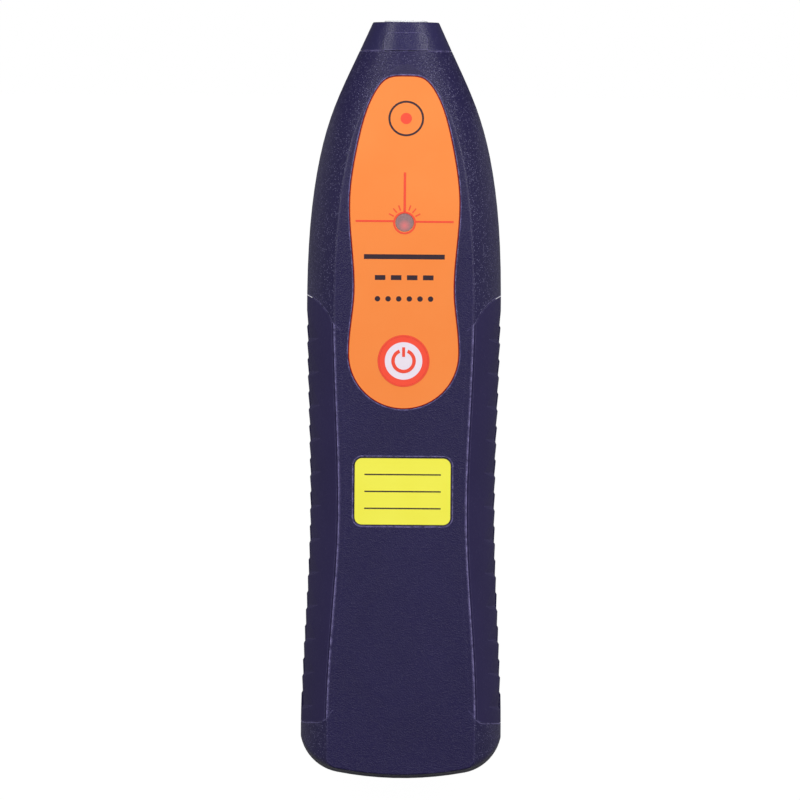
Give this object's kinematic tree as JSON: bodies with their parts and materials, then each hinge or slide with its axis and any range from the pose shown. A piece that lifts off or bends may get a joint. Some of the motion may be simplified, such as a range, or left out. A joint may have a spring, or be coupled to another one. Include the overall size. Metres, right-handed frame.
{
  "type": "visual fault locator",
  "caption": "Hand-held light source that finds faults in glass fibre, with a flip cap over its ferrule port, a round power key, rubber side grips and a battery door.",
  "frame": {"origin": "under the middle of the tool, on the surface that its flat back lies on", "axes": "+Y along the tool towards its capped nose, +Z out of the front face, +X to the right seen from the front"},
  "size_m": [0.0462, 0.175, 0.0276],
  "materials": {
    "housing_plastic": "fine spark-eroded moulded plastic",
    "grip_rubber": "matt moulded rubber",
    "plug_elastomer": "light grey elastomer",
    "printed_film": "satin printed film",
    "label_film": "satin label",
    "key_face": "satin printed key",
    "inner_plastic": "plain moulded plastic",
    "frosted_window": "frosted clear plastic",
    "lamp_plastic": "tinted clear plastic",
    "board_laminate": "green lacquered laminate",
    "chip_plastic": "black moulded resin",
    "cell_sleeve": "plain printed sleeve",
    "contact_steel": "nickel-plated spring steel",
    "steel": "zinc-plated steel",
    "aluminium": "drawn can",
    "brass": "turned brass",
    "nickel_plate": "nickel-plated turned metal",
    "lens_glass": "polished lens",
    "ceramic": "ground zirconia"
  },
  "bodies": {
    "housing": {"front_shell": "housing_plastic", "rear_shell": "housing_plastic", "front_left_grip": "grip_rubber", "front_right_grip": "grip_rubber", "rear_left_grip": "grip_rubber", "rear_right_grip": "grip_rubber", "front_overlay": "printed_film", "yellow_label": "label_film", "led_window": "frosted_window", "indicator_led": "lamp_plastic", "switch_body": "chip_plastic", "main_board": "board_laminate", "driver_chip": "chip_plastic", "inductor": "chip_plastic", "capacitor": "aluminium", "board_screws": "steel", "housing_screws": "steel", "cell_1": "cell_sleeve", "cell_2": "cell_sleeve", "bridge_contact": "contact_steel", "negative_contact": "contact_steel", "positive_contact": "contact_steel", "laser_barrel": "brass", "laser_diode": "brass", "focus_lens": "lens_glass", "port_adapter": "nickel_plate", "ferrule_sleeve": "ceramic", "cap_hinge_pin": "steel"},
    "cap": {"nose_cap": "housing_plastic", "cap_plug": "plug_elastomer"},
    "power_key": {"power_button": "key_face", "key_carrier": "inner_plastic", "switch_stem": "inner_plastic"},
    "door": {"battery_door": "housing_plastic"}
  },
  "joints": [
    {"name": "cap_hinge", "type": "hinge", "parent": "housing", "child": "cap", "pos_m": [0, 0.08055, 0.0012], "axis": [-1, 0, 0], "range_deg": [0, 110]},
    {"name": "power_press", "type": "slide", "parent": "housing", "child": "power_key", "axis": [0, 0, -1], "range_m": [0, 0.0003], "stiffness_N_per_m": 5000},
    {"name": "door_slide", "type": "slide", "parent": "housing", "child": "door", "axis": [0, -1, 0], "range_m": [0, 0.06]}
  ]
}
